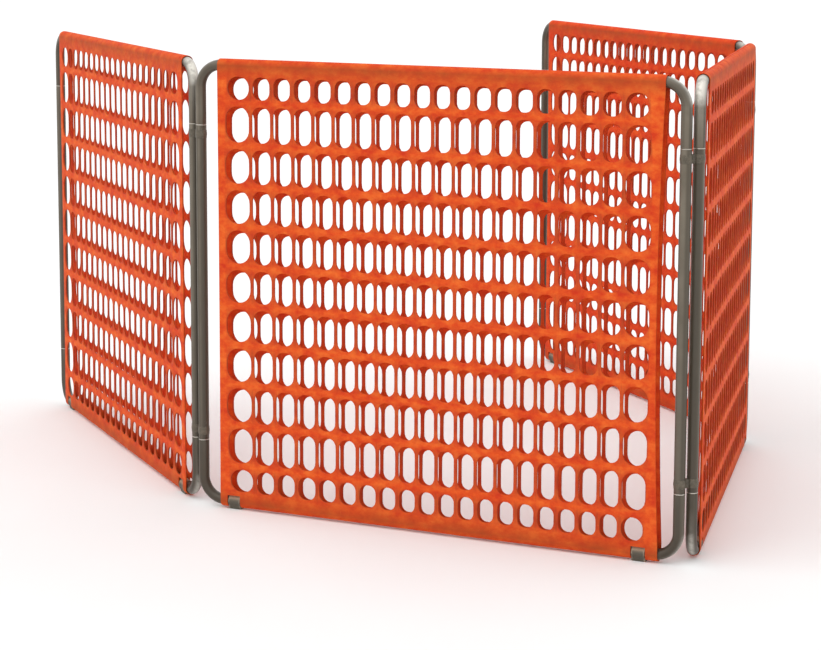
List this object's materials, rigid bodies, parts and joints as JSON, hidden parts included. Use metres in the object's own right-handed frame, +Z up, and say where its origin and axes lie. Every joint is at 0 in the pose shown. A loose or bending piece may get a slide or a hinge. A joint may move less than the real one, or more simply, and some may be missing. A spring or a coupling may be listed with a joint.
{
  "type": "folding mesh guard screen",
  "caption": "Free-standing folding screen of hinged round-tube frames, each covered with a perforated orange plastic mesh sleeve.",
  "frame": {"origin": "bottom centre of the bounding box of the screen as it stands half folded, on the floor under its feet", "axes": "+Z up; the front panel lies along X and faces -Y; the other panels fold back towards +Y"},
  "size_m": [2.167, 2.046, 1.0755],
  "materials": {
    "painted_tube": "semi-gloss grey-brown paint",
    "bare_steel": "bright turned edge",
    "foot_clamp": "dark matt",
    "orange_mesh": "moulded flexible plastic net, low sheen",
    "hinge_link": "dark paint"
  },
  "bodies": {
    "panel_front": {"front_bottom_bow": "painted_tube", "front_foot_far": "foot_clamp", "front_foot_near": "foot_clamp", "front_sheet_inner": "orange_mesh", "front_sheet_outer": "orange_mesh", "front_spigot_far_lower": "bare_steel", "front_spigot_far_upper": "bare_steel", "front_spigot_near_lower": "bare_steel", "front_spigot_near_upper": "bare_steel", "front_stile_far": "painted_tube", "front_stile_near": "painted_tube", "front_top_bow": "painted_tube"},
    "link_left": {"link_left_lower": "hinge_link", "link_left_upper": "hinge_link"},
    "panel_left": {"left_bottom_bow": "painted_tube", "left_foot_far": "foot_clamp", "left_foot_near": "foot_clamp", "left_sheet_inner": "orange_mesh", "left_sheet_outer": "orange_mesh", "left_spigot_far_lower": "bare_steel", "left_spigot_far_upper": "bare_steel", "left_spigot_near_lower": "bare_steel", "left_spigot_near_upper": "bare_steel", "left_stile_far": "painted_tube", "left_stile_near": "painted_tube", "left_top_bow": "painted_tube"},
    "link_right": {"link_right_lower": "hinge_link", "link_right_upper": "hinge_link"},
    "panel_right": {"right_bottom_bow": "painted_tube", "right_foot_far": "foot_clamp", "right_foot_near": "foot_clamp", "right_sheet_inner": "orange_mesh", "right_sheet_outer": "orange_mesh", "right_spigot_far_lower": "bare_steel", "right_spigot_far_upper": "bare_steel", "right_spigot_near_lower": "bare_steel", "right_spigot_near_upper": "bare_steel", "right_stile_far": "painted_tube", "right_stile_near": "painted_tube", "right_top_bow": "painted_tube"},
    "link_back": {"link_back_lower": "hinge_link", "link_back_upper": "hinge_link"},
    "panel_back": {"back_bottom_bow": "painted_tube", "back_foot_far": "foot_clamp", "back_foot_near": "foot_clamp", "back_sheet_inner": "orange_mesh", "back_sheet_outer": "orange_mesh", "back_spigot_far_lower": "bare_steel", "back_spigot_far_upper": "bare_steel", "back_spigot_near_lower": "bare_steel", "back_spigot_near_upper": "bare_steel", "back_stile_far": "painted_tube", "back_stile_near": "painted_tube", "back_top_bow": "painted_tube"}
  },
  "joints": [
    {"name": "left_inner_hinge", "type": "hinge", "parent": "panel_front", "child": "link_left", "pos_m": [-0.14609, -1.00766, 0.5395], "axis": [0, 0, -1], "range_deg": [-121, 59]},
    {"name": "left_outer_hinge", "type": "hinge", "parent": "link_left", "child": "panel_left", "pos_m": [-0.17438, -0.99066, 0.5395], "axis": [0, 0, -1], "range_deg": [-100.3, 79.7]},
    {"name": "right_inner_hinge", "type": "hinge", "parent": "link_right", "child": "panel_front", "pos_m": [1.04751, -1.00766, 0.5395], "axis": [0, 0, 1], "range_deg": [-39.3, 140.7]},
    {"name": "right_outer_hinge", "type": "hinge", "parent": "link_right", "child": "panel_right", "pos_m": [1.06841, -0.98212, 0.5395], "axis": [0, 0, -1], "range_deg": [-39.3, 140.7]},
    {"name": "back_inner_hinge", "type": "hinge", "parent": "panel_right", "child": "link_back", "pos_m": [0.83248, 0.18793, 0.5395], "axis": [0, 0, 1], "range_deg": [-108.45, 71.55]},
    {"name": "back_outer_hinge", "type": "hinge", "parent": "link_back", "child": "panel_back", "pos_m": [0.81606, 0.21655, 0.5395], "axis": [0, 0, 1], "range_deg": [-108.45, 71.55]}
  ]
}
